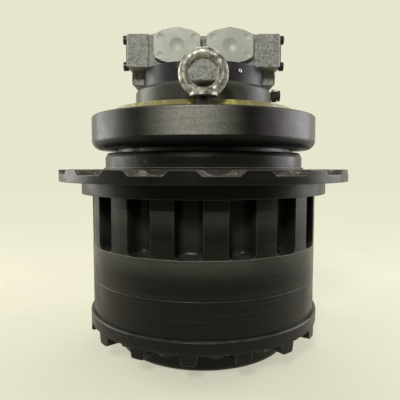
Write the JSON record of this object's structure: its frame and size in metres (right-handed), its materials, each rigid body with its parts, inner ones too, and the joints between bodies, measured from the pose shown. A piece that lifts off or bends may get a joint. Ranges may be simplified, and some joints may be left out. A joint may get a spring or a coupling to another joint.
{
  "type": "excavator final drive",
  "caption": "Travel final drive: two-stage planetary hub with sprocket flange, axial piston motor with valve block, and two lifting eyes.",
  "frame": {"origin": "centre of the end cover's outer face, on the axis of rotation, where the drive rests when stored", "axes": "+Z along the axis of rotation towards the motor, -Y towards the face with the oil ports, +X to the right seen from that side"},
  "size_m": [0.6338, 0.6338, 0.6834],
  "materials": {
    "hub_paint": "satin black",
    "cover_paint": "satin black",
    "spindle_paint": "satin black",
    "motor_paint": "satin dark grey",
    "cast_paint": "painted rough casting",
    "port_cap": "matte grey",
    "bolt_steel": "black bolt",
    "eye_steel": "worn zinc",
    "machined": "ground steel",
    "gear_steel": "case-hardened steel",
    "bronze": "bronze",
    "iron": "machined iron",
    "rubber": "moulded",
    "friction": "friction lining"
  },
  "bodies": {
    "root": {"spindle": "spindle_paint", "lifting_eyes": "eye_steel", "drain_fitting": "bolt_steel", "retainer_nut": "machined", "lower_bearing_inner_race": "machined", "upper_bearing_inner_race": "machined", "seal_ring_upper": "iron", "seal_cord_upper": "rubber", "carrier_2": "iron", "carrier_2_pins": "gear_steel", "carrier_2_rollers": "machined", "front_shaft_bearing": "machined", "rear_shaft_bearing": "machined", "shaft_seal": "rubber", "swash_cradles": "bronze", "valve_plate": "bronze", "brake_steel_plates": "machined", "brake_springs": "gear_steel", "motor_cover": "motor_paint", "valve_block": "cast_paint", "case_bolts": "bolt_steel", "passage_plugs": "bolt_steel", "relief_valves": "machined", "side_plates": "motor_paint", "side_plate_bolts": "bolt_steel", "port_caps": "port_cap"},
    "hub": {"hub": "hub_paint", "hub_bolts": "bolt_steel", "ring_gear": "hub_paint", "end_cover": "cover_paint", "end_cover_bolts": "bolt_steel", "oil_plugs": "bolt_steel", "thrust_pad": "gear_steel", "lower_bearing_outer_race": "machined", "upper_bearing_outer_race": "machined", "seal_ring_lower": "iron", "seal_cord_lower": "rubber"},
    "roller_cages": {"lower_bearing_rollers": "machined", "upper_bearing_rollers": "machined", "bearing_cages": "bronze"},
    "carrier_1": {"carrier_1": "iron", "carrier_1_pins": "gear_steel", "carrier_1_rollers": "machined", "sun_gear_2": "gear_steel"},
    "motor_rotor": {"sun_gear_1": "gear_steel", "motor_shaft": "gear_steel", "cylinder_block": "iron", "pistons": "machined", "retainer_plate": "bronze", "brake_friction_plates": "friction"},
    "planet_1a": {"planet_1a": "gear_steel"},
    "planet_1b": {"planet_1b": "gear_steel"},
    "planet_1c": {"planet_1c": "gear_steel"},
    "planet_2a": {"planet_2a": "gear_steel"},
    "planet_2b": {"planet_2b": "gear_steel"},
    "planet_2c": {"planet_2c": "gear_steel"},
    "brake_piston": {"brake_piston": "iron"},
    "swash_plate": {"swash_plate": "gear_steel"},
    "speed_piston": {"speed_piston": "machined"},
    "counterbalance_spool": {"counterbalance_spool": "machined"}
  },
  "joints": [
    {"name": "hub_spin", "type": "hinge", "parent": "root", "child": "hub", "pos_m": [0, 0, 0], "axis": [0, 0, 1], "continuous": true},
    {"name": "roller_cage_spin", "type": "hinge", "parent": "root", "child": "roller_cages", "pos_m": [0, 0, 0], "axis": [0, 0, 1], "continuous": true},
    {"name": "carrier_1_spin", "type": "hinge", "parent": "root", "child": "carrier_1", "pos_m": [0, 0, 0], "axis": [0, 0, 1], "continuous": true},
    {"name": "motor_spin", "type": "hinge", "parent": "root", "child": "motor_rotor", "pos_m": [0, 0, 0], "axis": [0, 0, 1], "continuous": true},
    {"name": "planet_1a_spin", "type": "hinge", "parent": "carrier_1", "child": "planet_1a", "pos_m": [0.09743, 0.05625, 0], "axis": [0, 0, 1], "continuous": true},
    {"name": "planet_1b_spin", "type": "hinge", "parent": "carrier_1", "child": "planet_1b", "pos_m": [-0.09743, 0.05625, 0], "axis": [0, 0, 1], "continuous": true},
    {"name": "planet_1c_spin", "type": "hinge", "parent": "carrier_1", "child": "planet_1c", "pos_m": [0, -0.1125, 0], "axis": [0, 0, 1], "continuous": true},
    {"name": "planet_2a_spin", "type": "hinge", "parent": "root", "child": "planet_2a", "pos_m": [0, 0.12, 0], "axis": [0, 0, 1], "continuous": true},
    {"name": "planet_2b_spin", "type": "hinge", "parent": "root", "child": "planet_2b", "pos_m": [-0.10392, -0.06, 0], "axis": [0, 0, 1], "continuous": true},
    {"name": "planet_2c_spin", "type": "hinge", "parent": "root", "child": "planet_2c", "pos_m": [0.10392, -0.06, 0], "axis": [0, 0, 1], "continuous": true},
    {"name": "swash_tilt", "type": "hinge", "parent": "root", "child": "swash_plate", "pos_m": [0, 0, 0.3453], "axis": [1, 0, 0], "range_deg": [-7, 0]},
    {"name": "speed_piston_slide", "type": "slide", "parent": "root", "child": "speed_piston", "axis": [0, 0, 1], "range_m": [0, 0.0069]},
    {"name": "brake_release", "type": "slide", "parent": "root", "child": "brake_piston", "axis": [0, 0, 1], "range_m": [0, 0.0025], "deforming": ["brake_springs"]},
    {"name": "spool_slide", "type": "slide", "parent": "root", "child": "counterbalance_spool", "axis": [1, 0, 0], "range_m": [-0.008, 0.008]}
  ],
  "couplings": [
    {"joint": "roller_cage_spin", "follows": "hub_spin", "ratio": 0.53147},
    {"joint": "carrier_1_spin", "follows": "hub_spin", "ratio": -4.3333},
    {"joint": "motor_spin", "follows": "hub_spin", "ratio": -39},
    {"joint": "planet_1a_spin", "follows": "hub_spin", "ratio": 12.606},
    {"joint": "planet_1b_spin", "follows": "hub_spin", "ratio": 12.606},
    {"joint": "planet_1c_spin", "follows": "hub_spin", "ratio": 12.606},
    {"joint": "planet_2a_spin", "follows": "hub_spin", "ratio": 2.6},
    {"joint": "planet_2b_spin", "follows": "hub_spin", "ratio": 2.6},
    {"joint": "planet_2c_spin", "follows": "hub_spin", "ratio": 2.6},
    {"joint": "speed_piston_slide", "follows": "swash_tilt", "m_per_rad": -0.056}
  ]
}
